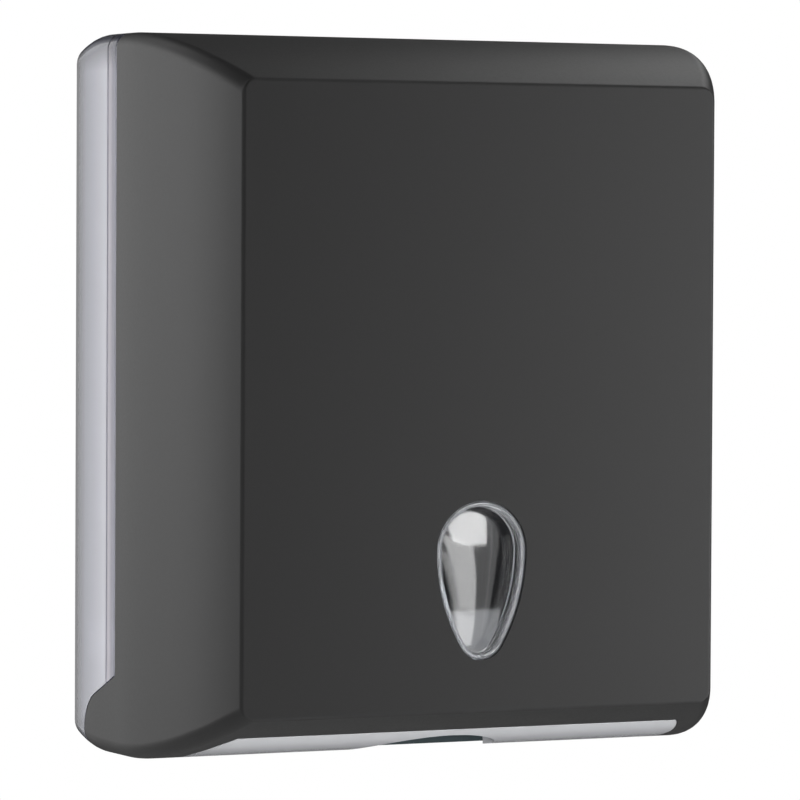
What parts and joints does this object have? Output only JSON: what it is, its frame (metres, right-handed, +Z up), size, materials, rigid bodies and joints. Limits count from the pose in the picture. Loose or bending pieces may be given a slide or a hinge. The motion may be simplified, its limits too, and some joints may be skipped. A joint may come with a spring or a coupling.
{
  "type": "folded towel dispenser",
  "caption": "Wall dispenser for folded paper towels: clear casing, hinged dark cover with an egg-shaped window, towel opening below and a key lock on top.",
  "frame": {"origin": "middle of the back face, which lies on the wall", "axes": "+X to the right seen from the front, +Y into the wall, +Z up"},
  "size_m": [0.286, 0.134, 0.33],
  "materials": {
    "clear_casing": "clear moulded plastic with a grey-blue tint, glossy",
    "clear_tray": "clear moulded plastic with a grey tint, glossy",
    "clear_window": "clear, polished",
    "soft_grey": "dark grey, fine soft-touch texture",
    "dark_plastic": "moulded, satin",
    "bush_plastic": "natural, waxy",
    "pin_steel": "turned or pressed, zinc plated",
    "screw_steel": "zinc plated",
    "lock_zinc": "die cast, nickel plated",
    "barrel_chrome": "polished",
    "washer_brass": "plain",
    "keeper_metal": "pressed, black coated"
  },
  "bodies": {
    "casing": {"rear_casing": "clear_casing", "dispensing_tray": "clear_tray", "tray_screws": "screw_steel", "hinge_pin_left": "pin_steel", "hinge_pin_right": "pin_steel", "lock_housing": "lock_zinc", "lock_nut": "lock_zinc"},
    "cover": {"front_cover": "soft_grey", "sight_window": "clear_window", "window_retainer": "dark_plastic", "retainer_screws": "screw_steel", "hinge_bush_left": "bush_plastic", "hinge_bush_right": "bush_plastic", "cover_keeper": "keeper_metal", "keeper_screws": "screw_steel"},
    "lock": {"lock_barrel": "barrel_chrome", "lock_friction_washer": "washer_brass", "lock_cam": "pin_steel", "cam_washer": "screw_steel", "cam_screw": "screw_steel"}
  },
  "joints": [
    {"name": "cover_hinge", "type": "hinge", "parent": "casing", "child": "cover", "pos_m": [0, -0.0305, -0.155], "axis": [1, 0, 0], "range_deg": [0, 110]},
    {"name": "lock_turn", "type": "hinge", "parent": "casing", "child": "lock", "pos_m": [0, -0.024, 0.165], "axis": [0, 0, 1], "range_deg": [0, 90]}
  ]
}
